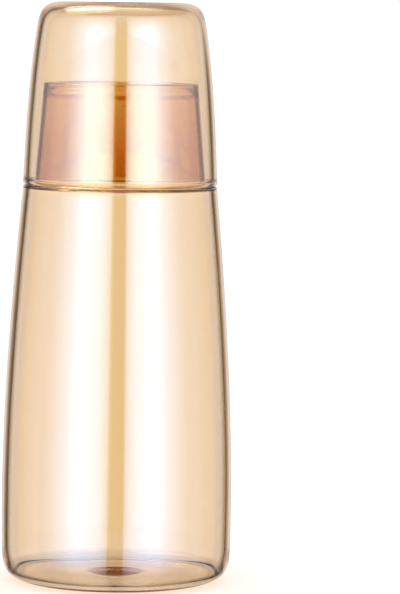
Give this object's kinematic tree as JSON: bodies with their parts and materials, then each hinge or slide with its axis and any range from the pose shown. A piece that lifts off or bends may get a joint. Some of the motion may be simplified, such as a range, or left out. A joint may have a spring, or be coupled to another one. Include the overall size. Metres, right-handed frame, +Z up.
{
  "type": "bedside carafe with tumbler",
  "caption": "Tall tapered glass water carafe for a bedside, with a drinking tumbler turned over on its neck as a lid and lifting straight off.",
  "frame": {"origin": "middle of the base, on the surface that the carafe stands on", "axes": "+Z up along the axis that both pieces are turned about; X and Y are alike"},
  "size_m": [0.0976, 0.0976, 0.245],
  "materials": {
    "amber_glass": "clear blown glass with a thin amber lustre coat, gloss",
    "amber_glass_thin": "clear blown glass with a thin amber lustre coat, gloss"
  },
  "bodies": {
    "carafe": {"carafe": "amber_glass"},
    "tumbler": {"tumbler": "amber_glass_thin"}
  },
  "joints": [
    {"name": "tumbler_lift", "type": "slide", "parent": "carafe", "child": "tumbler", "axis": [0, 0, 1], "range_m": [0, 0.1]}
  ]
}
